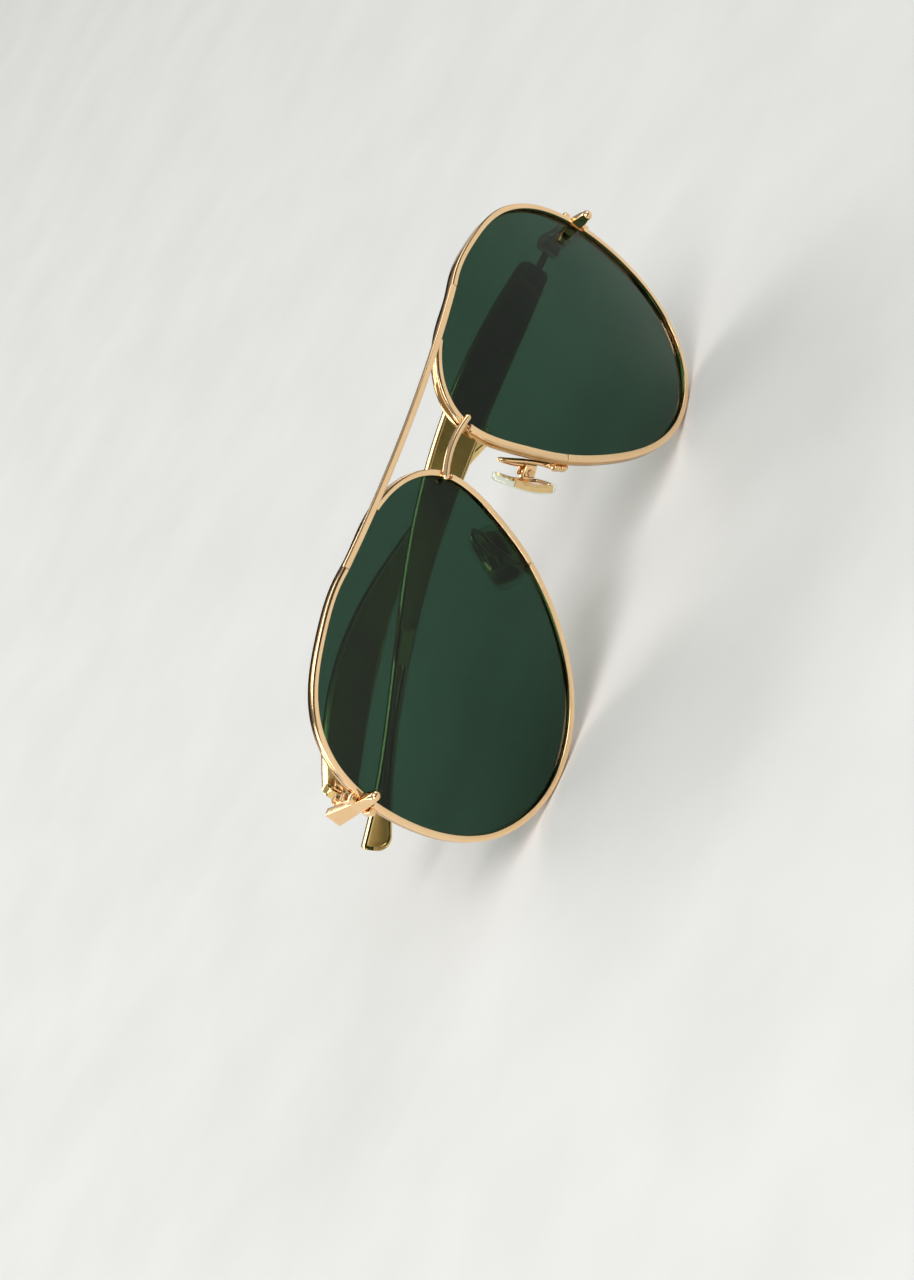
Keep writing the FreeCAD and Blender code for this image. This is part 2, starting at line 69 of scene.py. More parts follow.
# middle line of the left rim seen square on, anticlockwise from the outer top corner
OUTLINE = np.array([(28.8, 16.6), (23.0, 23.0), (9.1, 28.8), (-1.6, 30.3), (-6.7, 30.0), (-14.9, 29.9),
                    (-29.7, 23.6), (-31.8, 20.1), (-30.1, 5.2), (-26.7, -3.1), (-18.2, -15.5), (-6.0, -26.1),
                    (12.1, -30.0), (23.2, -24.9), (32.6, -1.3)])
EDGE_U = (LENS_W + RIM_EXTRA) / 2
PIVOT_X = (BRIDGE_W - RIM_EXTRA) / 2
CENTRE_N = math.sqrt(BASE_R ** 2 - EDGE_U ** 2)
BROW_Z, BROW_Y0 = 30.2, -0.9        # the brow bar's height, and its front in the middle
HINGE = Vector(JOINTS["temple_left_hinge"]["pos_m"]) / MM
HX, HY, HZ = HINGE
FOLD = {"left": 72.6, "right": 61.8}    # degrees that each temple is folded in at rest
SIDES = (("left", False), ("right", True))


def spline(t, p, closed=False):
    """Second derivatives of the cubic spline through p at t (natural, or closed when p[-1] == p[0])."""
    n = len(t)
    h = np.diff(t)
    a = np.zeros((n, n))
    b = np.zeros((n, p.shape[1]))
    slope = np.diff(p, axis=0) / h[:, None]
    for i in range(1, n - 1):
        a[i, i - 1:i + 2] = h[i - 1], 2 * (h[i - 1] + h[i]), h[i]
        b[i] = 6 * (slope[i] - slope[i - 1])
    if closed:
        a[0, 0], a[0, n - 1] = 1, -1
        a[n - 1, 0], a[n - 1, 1] = 2 * (h[0] + h[-1]), h[0]
        a[n - 1, n - 2] = h[-1]
        b[n - 1] = 6 * (slope[0] - slope[-1])
    else:
        a[0, 0] = a[n - 1, n - 1] = 1
    return np.linalg.solve(a, b)


def at(t, p, m, x):
    """Value and slope of the spline at x."""
    k = np.clip(np.searchsorted(t, x, side="right") - 1, 0, len(t) - 2)
    h = (t[k + 1] - t[k])[:, None]
    u = (t[k + 1] - x)[:, None] / h
    v = 1 - u
    value = u * p[k] + v * p[k + 1] + ((u ** 3 - u) * m[k] + (v ** 3 - v) * m[k + 1]) * h ** 2 / 6
    slope = (p[k + 1] - p[k]) / h + ((1 - 3 * u ** 2) * m[k] - (1 - 3 * v ** 2) * m[k + 1]) * h / 6
    return value, slope


RIM_P = np.vstack([OUTLINE, OUTLINE[:1]])
RIM_T = np.concatenate([[0], np.cumsum(np.linalg.norm(np.diff(RIM_P, axis=0), axis=1))])
RIM_M = spline(RIM_T, RIM_P, closed=True)
RIM_L = RIM_T[-1]


def rim(x):
    """Middle line of the rim and its outward normal, square on."""
    c, d = at(RIM_T, RIM_P, RIM_M, np.mod(x, RIM_L))
    d /= np.linalg.norm(d, axis=1)[:, None]
    return c, np.stack([d[:, 1], -d[:, 0]], 1)


FINE = np.linspace(0, RIM_L, 4000, endpoint=False)
FINE_C = rim(FINE)[0]


def where(u, v):
    """Parameter of the rim point nearest to (u, v)."""
    return FINE[np.argmin((FINE_C[:, 0] - u) ** 2 + (FINE_C[:, 1] - v) ** 2)]


def to_row(uv, depth):
    """Square-on place and depth behind the trim's front to the row frame, wearer's left."""
    u, v = uv[..., 0], uv[..., 1]
    n = CENTRE_N - np.sqrt((BASE_R - depth) ** 2 - u ** 2 - (v - CROWN_Z) ** 2)
    x = (u + EDGE_U) * math.cos(WRAP) - n * math.sin(WRAP) + PIVOT_X
    y = (u + EDGE_U) * math.sin(WRAP) + n * math.cos(WRAP)
    return np.stack([x, y, v], -1)


# ---- mesh making -----------------------------------------------------------------------
def make(node, mesh, slot, body, flip=False, angle=40):
    """The visible piece that replaces a node; flip mirrors it to the wearer's right."""
    verts, faces = mesh
    verts = np.asarray(verts, float) * MM
    if flip:
        verts = verts * (-1, 1, 1)
        faces = [tuple(reversed(f)) for f in faces]
    name = "v_" + node
    data = bpy.data.meshes.new(name)
    data.from_pydata([tuple(v) for v in verts], [], faces)
    data.validate()
    data.update()
    obj = bpy.data.objects.new(name, data)
    bpy.context.scene.collection.objects.link(obj)
    for f in data.polygons:
        f.use_smooth = True
    data.set_sharp_from_angle(angle=math.radians(angle))
    data.materials.append(LOOKS[slot])
    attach(obj, body)
    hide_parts(node)
    return obj


def grid(points, round_u=False):
    """Quads over points [along, around, 3]; round_u joins the two ends, otherwise both are closed flat."""
    nu, nv = points.shape[:2]
    faces = []
    for i in range(nu if round_u else nu - 1):
        j = (i + 1) % nu
        for k in range(nv):
            m = (k + 1) % nv
            faces.append((i * nv + k, i * nv + m, j * nv + m, j * nv + k))
    if not round_u:
        faces.append(tuple(range(nv - 1, -1, -1)))
        faces.append(tuple((nu - 1) * nv + k for k in range(nv)))
    return points.reshape(-1, 3), faces


def outward(verts, faces):
    """Faces turned so that the closed mesh's volume is positive."""
    v = np.asarray(verts)
    total = 0.0
    for f in faces:
        for k in range(1, len(f) - 1):
            total += np.dot(v[f[0]], np.cross(v[f[k]], v[f[k + 1]]))
    return faces if total > 0 else [tuple(reversed(f)) for f in faces]


def solid(rows, round_u=False):
    """Closed mesh through rows of points, faces turned outwards."""
    verts, faces = grid(np.array(rows), round_u)
    return verts, outward(verts, faces)


def rounded(w0, w1, d0, d1, r, n=5, crown=0.0):
    """Closed section from w0 to w1 across and d0 to d1 deep, corners rounded, front face bowed by crown."""
    pts = []
    for cx, cy, a0 in ((w1 - r, d0 + r, -90), (w1 - r, d1 - r, 0), (w0 + r, d1 - r, 90), (w0 + r, d0 + r, 180)):
        for k in range(n):
            a = math.radians(a0 + 90 * k / (n - 1))
            pts.append((cx + r * math.cos(a), cy + r * math.sin(a)))
    if crown:
        mid, half = (w0 + w1) / 2, (w1 - w0) / 2 - r
        pts += [(w0 + r + 2 * half * k / 6, d0) for k in range(1, 6)]
        pts = [(w, d - crown * max(0, 1 - ((w - mid) / half) ** 2) if d < d0 + 1e-6 else d) for w, d in pts]
    return np.array(pts)


def rim_sweep(section, x0, x1, step=0.55, soften=0.1):
    """Section (outward, deep) carried along the rim from x0 to x1, drawn in by soften at both ends."""
    count = max(3, int(abs(x1 - x0) / step))
    xs = np.linspace(x0, x1, count)
    tip = np.array([0.0, 0.3, 1.0]) * soften
    xs = np.concatenate([x0 + tip, xs[1:-1], x1 - tip[::-1]])
    drawn = np.concatenate([tip[::-1], np.zeros(count - 2), tip])
    c, n = rim(xs)
    mid = (section.max(0) + section.min(0)) / 2
    half = (section.max(0) - section.min(0)) / 2
    rows = []
    for i in range(len(xs)):
        s = mid + (section - mid) * (1 - drawn[i] / half)
        rows.append(to_row(c[i] + s[:, :1] * n[i], s[:, 1]))
    return solid(rows)


def tube(path, radius, sides):
    """Round tube along points, ends domed; radius is one number or one for each point."""
    radius = np.broadcast_to(radius, len(path))
    t = np.gradient(path, axis=0)
    t /= np.linalg.norm(t, axis=1)[:, None]
    dome = np.radians((80, 60, 40, 20))
    stations = [(0, -math.sin(a), math.cos(a)) for a in dome]
    stations += [(i, 0, 1) for i in range(len(path))]
    stations += [(len(path) - 1, math.sin(a), math.cos(a)) for a in dome[::-1]]
    ang = np.linspace(0, 2 * math.pi, sides, endpoint=False)
    n = np.cross(t[0], (0.0, 0.0, 1.0))
    rows = []
    for i, shift, k in stations:
        n = n - t[i] * np.dot(n, t[i])
        n /= np.linalg.norm(n)
        b = np.cross(t[i], n)
        centre = path[i] + t[i] * shift * radius[i]
        rows.append(centre + radius[i] * k * (np.cos(ang)[:, None] * n + np.sin(ang)[:, None] * b))
    return solid(rows)


def run_length(p):
    """Distance along a chain of points, from its first."""
    return np.concatenate([[0], np.cumsum(np.linalg.norm(np.diff(p, axis=0), axis=1))])


def smooth_path(points, count):
    """Even points on the spline through the given ones."""
    p = np.asarray(points, float)
    t = run_length(p)
    return at(t, p, spline(t, p), np.linspace(0, t[-1], count))[0]


def block(size, r, n=4):
    """Box with rounded edges, centred on the origin."""
    sx, sy, sz = [s / 2 for s in size]
    sec = rounded(-sx, sx, -sy, sy, r, n)
    levels = []
    for k in range(n):
        a = math.radians(90 * k / (n - 1))
        levels.append((r * (1 - math.sin(a)), -sz + r - r * math.cos(a)))
    levels += [(inset, -z) for inset, z in reversed(levels)]
    rows = []
    for inset, z in levels:
        k = sec * np.array([(sx - inset) / sx, (sy - inset) / sy])
        rows.append(np.column_stack([k, np.full(len(k), z)]))
    return solid(rows)


def lathe(profile, sides=28, hollow=False):
    """Turned piece about Z from (radius, height) pairs."""
    ang = np.linspace(0, 2 * math.pi, sides, endpoint=False)
    rows = [np.column_stack([r * np.cos(ang), r * np.sin(ang), np.full(sides, z)]) for r, z in profile]
    return solid(rows, hollow)


def disc(r, z0, z1, b):
    """Turned disc with edges rounded by b."""
    return lathe([(r - b, z0), (r - b * 0.3, z0 + b * 0.3), (r, z0 + b),
                  (r, z1 - b), (r - b * 0.3, z1 - b * 0.3), (r - b, z1)])


def join(*parts):
    verts, faces, base = [], [], 0
    for v, f in parts:
        verts.append(np.asarray(v))
        faces += [tuple(i + base for i in q) for q in f]
        base += len(v)
    return np.vstack(verts), faces


def placed(part, matrix):
    v, f = part
    m = np.array(matrix)
    return np.asarray(v) @ m[:3, :3].T + m[:3, 3], f


def move(part, x, y, z):
    return placed(part, Matrix.Translation((x, y, z)))


def turned(part, degrees, axis, about=(0, 0, 0)):
    c = Matrix.Translation(about)
    return placed(part, c @ Matrix.Rotation(math.radians(degrees), 4, axis) @ c.inverted())


# ---- materials -------------------------------------------------------------------------
def material(name):
    m = bpy.data.materials.new(name)
    m.use_nodes = True
    nt = m.node_tree
    return m, nt, nt.nodes["Principled BSDF"], nt.nodes["Material Output"]


def noise(nt, scale, detail):
    """Noise that is fixed to the object, between 0 and 1."""
    coord = nt.nodes.new("ShaderNodeTexCoord")
    tex = nt.nodes.new("ShaderNodeTexNoise")
    tex.inputs["Scale"].default_value = scale
    tex.inputs["Detail"].default_value = detail
    nt.links.new(coord.outputs["Object"], tex.inputs["Vector"])
    return tex.outputs["Fac"]


def ramp(nt, fac, stops):
    r = nt.nodes.new("ShaderNodeValToRGB")
    r.color_ramp.elements[0].position, r.color_ramp.elements[0].color = stops[0][0], (*stops[0][1], 1)
    r.color_ramp.elements[1].position, r.color_ramp.elements[1].color = stops[-1][0], (*stops[-1][1], 1)
    for pos, col in stops[1:-1]:
        r.color_ramp.elements.new(pos).color = (*col, 1)
    nt.links.new(fac, r.inputs["Fac"])
    return r.outputs["Color"]


def spread(nt, fac, low, high):
    r = nt.nodes.new("ShaderNodeMapRange")
    r.inputs["To Min"].default_value, r.inputs["To Max"].default_value = low, high
    nt.links.new(fac, r.inputs["Value"])
    return r.outputs["Result"]


def gold(name, dark, light, rough, metallic=1.0):
    """Plated metal: cloudy tone and polish, and a very fine grain."""
    m, nt, p, _ = material(name)
    p.inputs["Metallic"].default_value = metallic
    nt.links.new(ramp(nt, noise(nt, 260.0, 2.0), [(0.3, dark), (0.7, light)]), p.inputs["Base Color"])
    nt.links.new(spread(nt, noise(nt, 900.0, 4.0), rough * 0.7, rough * 1.35), p.inputs["Roughness"])
    bump = nt.nodes.new("ShaderNodeBump")
    bump.inputs["Strength"].default_value = 0.02
    bump.inputs["Distance"].default_value = 0.00005
    nt.links.new(noise(nt, 1400.0, 3.0), bump.inputs["Height"])
    nt.links.new(bump.outputs["Normal"], p.inputs["Normal"])
    return m


def clear(name, tint_a, tint_b, ior, rough, scale=40.0):
    """See-through solid: tinted transparency under a Fresnel gloss, so lamps reach what lies behind."""
    m, nt, p, out = material(name)
    nt.nodes.remove(p)
    see = nt.nodes.new("ShaderNodeBsdfTransparent")
    nt.links.new(ramp(nt, noise(nt, scale, 2.0), [(0.35, tint_a), (0.65, tint_b)]), see.inputs["Color"])
    shine = nt.nodes.new("ShaderNodeBsdfGlossy")
    shine.inputs["Color"].default_value = (1, 1, 1, 1)
    nt.links.new(spread(nt, noise(nt, 300.0, 3.0), rough * 0.6, rough * 1.4), shine.inputs["Roughness"])
    base = ((ior - 1) / (ior + 1)) ** 2
    facing = nt.nodes.new("ShaderNodeLayerWeight")
    facing.inputs["Blend"].default_value = 0.5
    power = nt.nodes.new("ShaderNodeMath")
    power.operation = "POWER"
    power.inputs[1].default_value = 5.0
    nt.links.new(facing.outputs["Facing"], power.inputs[0])
    mix = nt.nodes.new("ShaderNodeMixShader")
    nt.links.new(spread(nt, power.outputs[0], base, 1.0), mix.inputs[0])
    nt.links.new(see.outputs[0], mix.inputs[1])
    nt.links.new(shine.outputs[0], mix.inputs[2])
    nt.links.new(mix.outputs[0], out.inputs["Surface"])
    return m


GOLD_TRIM = gold("gold trim", (0.98, 0.66, 0.36), (1.0, 0.71, 0.41), 0.12)
# darker gold for the eyewire: painted shade, standing in for the dark edges beside the bright strips
GOLD_WIRE_PAINTED_SHADE = gold("gold wire painted shade", (0.62, 0.34, 0.12), (0.72, 0.42, 0.17), 0.14)
GOLD_FIT = gold("gold fittings", (0.93, 0.60, 0.29), (1.0, 0.68, 0.37), 0.13)
GOLD_TEMPLE = gold("gold temple", (0.84, 0.60, 0.24), (0.92, 0.68, 0.30), 0.16)
# darker gold for the temples' hollows: painted shade, standing in for the dark surroundings that the hollows
# reflect
GOLD_HOLLOW_PAINTED_SHADE = gold("gold hollow painted shade", (0.62, 0.40, 0.12), (0.72, 0.48, 0.16), 0.30, metallic=0.85)
SCREW = gold("screw metal", (0.70, 0.44, 0.20), (0.84, 0.56, 0.30), 0.26)
LENS = clear("green lens", (0.12, 0.235, 0.175), (0.13, 0.25, 0.185), 1.34, 0.02)
SILICONE = clear("clear silicone", (0.90, 0.93, 0.85), (0.94, 0.96, 0.90), 1.45, 0.07, 500.0)

LOOKS = {"gold_trim": GOLD_TRIM, "gold_wire": GOLD_WIRE_PAINTED_SHADE, "gold_fittings": GOLD_FIT,
         "gold_temple": GOLD_TEMPLE, "screw_metal": SCREW, "lens_green": LENS, "pad_clear": SILICONE}
SLOTS = {s["node"]: s["material_slot"] for s in RECORD["subparts"]}
for node, obj in frame["nodes"].items():
    obj.data.materials.clear()
    obj.data.materials.append(LOOKS[SLOTS[node]])

# ---- rims, strips, lenses ----------------------------------------------------------------
# places on the rim: the joints between the strips, the bridge bar, and the two edges of the side arm,
# behind which the eyewire's ends overlap
CUT_NOSE = where(-25.9, -5.1)
CUT_BROW = where(-4.4, 30.2)
CUT_BAR = where(-32.3, 18.5)
CUT_JOIN = where(-18.2, 29.4)
GAP_UP = where(32.3, 7.15)
GAP_LOW = where(32.6, 3.85)
BUTT, BROW_BUTT, BAR_ROOM = 0.07, 0.06, 0.9     # left free at the joints and beside the bridge bar
# section of the eyewire (outward, deep) with the groove that holds the lens
WIRE = np.array([(0.6, 0.76), (0.6, 2.1), (0.5, 2.24), (0.36, 2.3), (-0.2, 2.3), (-0.36, 2.26), (-0.5, 2.1),
                 (-0.5, 1.9), (-0.42, 1.85), (-0.16, 1.82), (-0.16, 1.18), (-0.42, 1.15), (-0.5, 1.1),
                 (-0.5, 0.74), (-0.44, 0.7), (0.54, 0.7)])
STRIP = rounded(-0.62, 0.62, 0.0, 0.7, 0.16, 5, crown=0.05)


def between(a, b):
    """The two parameters ordered so that the run from the first to the second is the short way round."""
    return (a, b) if abs(b - a) < RIM_L / 2 else ((a, b + RIM_L) if b < a else (a + RIM_L, b))


def lens_mesh():
    """Curved lens whose edge runs in the eyewire's groove."""
    count, front, back, shoulder = 200, 0.87, 2.13, -0.56
    c, n = rim(np.linspace(0, RIM_L, count, endpoint=False))
    mid = np.array([0.0, 2.0])
    edge = c + shoulder * n
    shares = np.sin(np.linspace(0.02, 1, 26) * math.pi / 2)
    groove = ((shoulder, 1.0), (-0.2, 1.22), (-0.18, 1.3), (-0.18, 1.7), (-0.2, 1.78), (shoulder, 2.0))
    rows = [to_row(mid + s * (edge - mid), np.full(count, front)) for s in shares]
    rows += [to_row(c + off * n, np.full(count, d)) for off, d in groove]
    rows += [to_row(mid + s * (edge - mid), np.full(count, back)) for s in shares[::-1]]
    return solid(rows)


RUNS = {"strip_temporal": between(CUT_BROW - BROW_BUTT, GAP_UP),
        "strip_upper_nasal": between(CUT_JOIN, CUT_BAR - BAR_ROOM),
        "strip_lower_nasal": between(CUT_BAR + BAR_ROOM, CUT_NOSE - BUTT),
        "strip_cheek": between(CUT_NOSE + BUTT, GAP_LOW)}
for side, flip in SIDES:
    for name, (x0, x1) in RUNS.items():
        make(name + "_" + side, rim_sweep(STRIP, x0, x1), "gold_trim", "front", flip)
    # the eyewire takes the darker gold, which paints shade along the rims' edges
    make("eyewire_" + side, rim_sweep(WIRE, GAP_LOW - RIM_L, GAP_UP), "gold_wire", "front", flip)
    make("lens_" + side, lens_mesh(), "lens_green", "front", flip, 30)


# ---- brow bar and bridge bar --------------------------------------------------------------
def brow_bar():
    """Flat bar on the arc through its two ends and its middle."""
    end = to_row(np.array([-4.55, BROW_Z]), 0.0)
    arc = (end[0] ** 2 + (end[1] - BROW_Y0) ** 2) / (2 * (end[1] - BROW_Y0))
    half = math.asin(end[0] / arc)
    sec = rounded(-0.7, 0.7, 0.0, 0.9, 0.18, 5, crown=0.05)
    turns = np.linspace(-half + 0.0008, half - 0.0008, 120)
    turns = np.concatenate([[-half, -half + 0.0003], turns, [half - 0.0003, half]])
    width = np.ones(len(turns))
    width[[0, -1]], width[[1, -2]] = 0.88, 0.96
    r = arc - sec[:, 1]
    return solid([np.column_stack([r * math.sin(a), BROW_Y0 + arc - r * math.cos(a), BROW_Z + sec[:, 0] * k])
                  for a, k in zip(turns, width)])


def bridge_bar():
    """Round bar, arched upwards, its ends in front of the rims."""
    half = 7.05
    xs = np.linspace(-half, half, 50)
    out = (xs / half) ** 2
    return tube(np.column_stack([xs, -0.2 - 0.25 * out, 18.95 + 0.95 * (1 - out)]), 0.74, 24)


make("brow_bar", brow_bar(), "gold_trim", "front")
make("bridge_bar", bridge_bar(), "gold_trim", "front")

# ---- side arms, closing lugs, hinges --------------------------------------------------------
ARM_X, ARM_FRONT, ARM_REAR = 70.0, 9.0, 26.5
NOSE_R, NOSE_Z, REAR_Z = 1.05, 5.85, 5.25
ARM_BEVEL, SLANT_FROM = 0.16, 21.0


def side_arm():
    """Flat bar with small bevels, wider towards the hinge, with a round nose in front of the rim."""
    stations = []       # y, half thickness, half height, height of the middle, roundness
    for a in np.radians((80, 62, 45, 30, 15, 0)):
        r = NOSE_R * math.cos(a)
        stations.append((ARM_FRONT - NOSE_R * math.sin(a), r, r, NOSE_Z, 1.0))
    for t in np.linspace(0.02, 0.985, 40):
        flat = min(1, t / 0.13)
        flat = flat * flat * (3 - 2 * flat)
        stations.append((ARM_FRONT + (ARM_REAR - ARM_FRONT) * t, NOSE_R - 0.25 * flat, 1.02 + 1.08 * t,
                         NOSE_Z + (REAR_Z - NOSE_Z) * t, 1 - 0.86 * flat))
    for past, hx, hz in ((-0.1, 0.8, 2.08), (-0.02, 0.77, 2.04), (0.03, 0.7, 1.96)):
        stations.append((ARM_REAR + past, hx, hz, REAR_Z, 0.14))
    rows = []
    for y, hx, hz, zc, soft in stations:
        r = min(hx, hz) * soft if soft > 0.2 else ARM_BEVEL
        sec = rounded(-hx, hx, -hz, hz, min(r, hx * 0.99, hz * 0.99), 8)
        t = max(0.0, (y - SLANT_FROM) / (ARM_REAR - SLANT_FROM))
        share = sec[:, 1] / hz
        slant = t * (-0.35 * share - 0.35 * np.clip(share - 0.45, 0, 1) ** 2 / 0.3)
        rows.append(np.column_stack([ARM_X + sec[:, 0], y + slant, zc + sec[:, 1]]))
    return solid(rows)


KN_H, KN_R, AXIAL = 1.42, 1.25, 0.12        # knuckle height and radius, and the gap between knuckles
PIN_FIXED, PIN_FREE = 0.6, 0.65             # holes round the pin in the front half and in the temple's
LOWEST = HZ - 1.5 * KN_H


def knuckle(z0, z1, r_hole):
    """Turned eye with a through hole about the pin."""
    b = 0.08
    profile = [(r_hole, z0), (KN_R - b, z0), (KN_R, z0 + b), (KN_R, z1 - b), (KN_R - b, z1), (r_hole, z1)]
    return move(lathe(profile, 32, hollow=True), HX, HY, 0)


def front_hinge():
    height = KN_H - AXIAL
    parts = [move(block((0.7, 3.5, 3 * KN_H), 0.12), HX + 1.15, HY - 3.45, HZ)]
    for z in (LOWEST, LOWEST + 2 * KN_H + AXIAL):
        parts.append(knuckle(z, z + height, PIN_FIXED))
        parts.append(move(block((1.1, 2.2, height - 0.02), 0.08), HX + 0.93, HY - 1.85, z + height / 2))
    return join(*parts)


def rear_hinge():
    z = LOWEST + KN_H
    return join(knuckle(z, z + KN_H, PIN_FREE),
                move(block((0.95, 4.6, KN_H - 0.02), 0.1), HX + 0.3, HY + 3.2, z + KN_H / 2),
                move(block((0.88, 4.2, 3 * KN_H), 0.3), HX + 1.04, HY + 6.3, HZ))


def lug(sign):
    """Closing block behind the rim, above or below the side arm."""
    base = to_row(np.array([31.9, 5.5]), 0.0)
    piece = turned(block((2.1, 3.4, 1.5), 0.28, 5), WRAP_DEG, "Z")
    return move(piece, base[0] + 0.95, base[1] + 2.8, 5.5 + sign * 2.4)


# ---- temples ----------------------------------------------------------------------------------
# distance from the hinge, and the temple's upper and lower edge there
PROFILE = np.array([(0.0, 2.9, -3.3), (14.6, 4.4, -4.3), (29.1, 4.7, -4.9), (43.7, 3.6, -5.7), (58.2, 1.2, -6.7),
                    (72.8, -2.5, -8.3), (87.3, -7.0, -10.8), (101.9, -11.6, -14.1), (116.4, -15.5, -18.45),
                    (131.0, -17.9, -24.3)])
PROFILE_M = spline(PROFILE[:, 0], PROFILE[:, 1:])
SWEEP_R = 131.0 / math.radians(14.0)        # the temple bends inwards along this radius
T_START, T_END, SLANT, TEMPLE_T = 2.7, 130.2, 2.6, 2.0
BAND, END_WALL = 0.8, 0.9                   # metal left round the hollows: along the edges, at the ends
HOLLOW_END, TIP_HOLLOW = 86.0, 92.5         # the long hollow ends here, the one in the tip starts here
START_R, TIP_TOP_R, TIP_LOW_R = 1.4, 0.9, 3.1
SIDE_POINTS = 5                             # points round each edge of the temple


def lost(s, s0, s1, r0, r1):
    """Height lost to the rounded corner at each end."""
    a = np.clip(s0 + r0 - s, 0, r0)
    b = np.clip(s - (s1 - r1), 0, r1)
    return (r0 - np.sqrt(r0 * r0 - a * a)) + (r1 - np.sqrt(r1 * r1 - b * b))


def hollow_span(s, top, low):
    """Middle and half height of the hollow at s; the half height is 0 where there is none."""
    start, end = T_START + END_WALL, T_END - END_WALL
    up, down = top - BAND, low + BAND
    r = np.maximum((up - down) / 2, 0.1)
    a = np.clip((start + 2.0 - s) / 2.0, 0, 1)
    b = np.clip((s - HOLLOW_END + r) / r, 0, 1)
    k = np.sqrt(np.clip(1 - b ** 2, 0, 1)) * (1 - 0.3 * (1 - np.sqrt(1 - a ** 2)))
    long_half = np.where((s > start) & (s < HOLLOW_END), r * k, 0)
    tip_up = up - lost(s, TIP_HOLLOW, end, 1.4, 0.3)
    tip_down = down + 0.5 * np.clip((127 - s) / 8, 0, 1) + lost(s, TIP_HOLLOW, end, 1.4, 2.3)
    tip_half = np.where((s > TIP_HOLLOW) & (s < end), (tip_up - tip_down) / 2, 0)
    in_tip = s > 0.5 * (HOLLOW_END + TIP_HOLLOW)
    return (np.where(in_tip, (tip_up + tip_down) / 2, (up + down) / 2),
            np.maximum(np.where(in_tip, tip_half, long_half), 0))


def temple():
    """Mesh of a straight-back temple and, for each face, whether it lies in a hollow."""
    start, end, eps = T_START + END_WALL, T_END - END_WALL, 0.02
    along = np.concatenate([
        np.linspace(T_START, start - eps, 10), np.linspace(start + eps, T_START + 4, 14),
        np.linspace(T_START + 5, 82, 84), np.linspace(82.3, HOLLOW_END - eps, 26),
        np.linspace(HOLLOW_END + eps, TIP_HOLLOW - eps, 10), np.linspace(TIP_HOLLOW + eps, 94.5, 14),
        np.linspace(95.3, 125.5, 34), np.linspace(126, end - eps, 26), np.linspace(end + eps, T_END, 12)])
    top, low = at(PROFILE[:, 0], PROFILE[:, 1:], PROFILE_M, along)[0].T
    top_e = top - lost(along, T_START, T_END, START_R, TIP_TOP_R)
    low_e = low + lost(along, T_START, T_END, START_R, TIP_LOW_R)
    mid, half = hollow_span(along, top, low)
    wall, wall_foot, deepest, edge, crown, lip = 0.14, 0.17, 0.36, 0.26, 0.05, 0.35
    across = np.linspace(1, -1, 15)
    rows, sunk = [], []
    for i, s in enumerate(along):
        h0, l0 = top_e[i], low_e[i]
        rr = min(edge, (h0 - l0) * 0.25)
        here = half[i] > 0.05
        h = max(half[i], 0.02)
        m = min(max(mid[i], l0 + rr + lip), h0 - rr - lip)
        upper = min(m + h + wall, h0 - rr - 0.1)
        lower = max(m - h - wall, l0 + rr + 0.1)
        band = -crown if here else 0.0
        face = [(h0 - rr, 0.03), ((h0 - rr + upper) / 2, band), (upper, 0.02)]
        for a in across:
            z = min(max(m + a * h, lower + 0.02), upper - 0.02)
            face.append((z, (wall_foot + (deepest - wall_foot) * (1 - a * a)) if here else 0.0))
        face += [(lower, 0.02), ((l0 + rr + lower) / 2, band), (l0 + rr, 0.03)]
        turn = [math.pi * k / (SIDE_POINTS + 1) for k in range(1, SIDE_POINTS + 1)]
        under = [(l0 + rr - rr * math.sin(a) ** 0.6, TEMPLE_T * (0.5 - 0.5 * math.cos(a))) for a in turn]
        over = [(h0 - rr + rr * math.sin(a) ** 0.6, TEMPLE_T * (0.5 + 0.5 * math.cos(a))) for a in turn]
        ring = np.array(face + under + [(z, TEMPLE_T - d) for z, d in reversed(face)] + over)
        share = (top[i] - ring[:, 0]) / (top[i] - low[i])
        y = s - SLANT * share * (s - T_START) / (T_END - T_START)
        a = np.arcsin(y / (SWEEP_R + ring[:, 1]))
        x = (SWEEP_R + ring[:, 1]) * np.cos(a) - SWEEP_R
        rows.append(np.column_stack([x + HX + 1.5, y + HY + 1.3, ring[:, 0] + HZ]))
        sunk.append(here)
    verts, faces = solid(rows)
    nv, wide, rail = len(rows[0]), len(across), 3       # rail: points on each side of the hollow
    deep = []
    for f in faces[:-2]:
        cols, stops = {n % nv for n in f}, {n // nv for n in f}
        inside = any(c <= min(cols) and max(cols) < c + wide for c in (rail, nv - SIDE_POINTS - rail - wide))
        deep.append(inside and all(sunk[n] for n in stops))
    return (verts, faces), deep + [False, False]


# ---- nose pads ----------------------------------------------------------------------------------
PAD_C = np.array([8.64, 12.64, -2.74])
DOWN = np.array([0.43, 0.144, -0.891])
DOWN /= np.linalg.norm(DOWN)
NOSE = np.cross([0.5, 0.866, 0.0], DOWN)
NOSE *= -np.sign(NOSE[0]) / np.linalg.norm(NOSE)
BACK = np.cross(DOWN, NOSE)
BACK *= np.sign(BACK[1])
PAD_M = Matrix(((DOWN[0], BACK[0], NOSE[0], PAD_C[0]), (DOWN[1], BACK[1], NOSE[1], PAD_C[1]),
                (DOWN[2], BACK[2], NOSE[2], PAD_C[2]), (0, 0, 0, 1)))
PIN_BACK = 2.75                 # the pad's pin lies this far behind it
BOW_R = 26.0                    # the pad is bowed along its length
FOOT = np.array([12.5, 4.55, -5.3])


def on_pad(part):
    """From the pad's own axes (down, back, towards the nose) to the row frame."""
    v, f = placed(part, PAD_M)
    return v, outward(v, f)


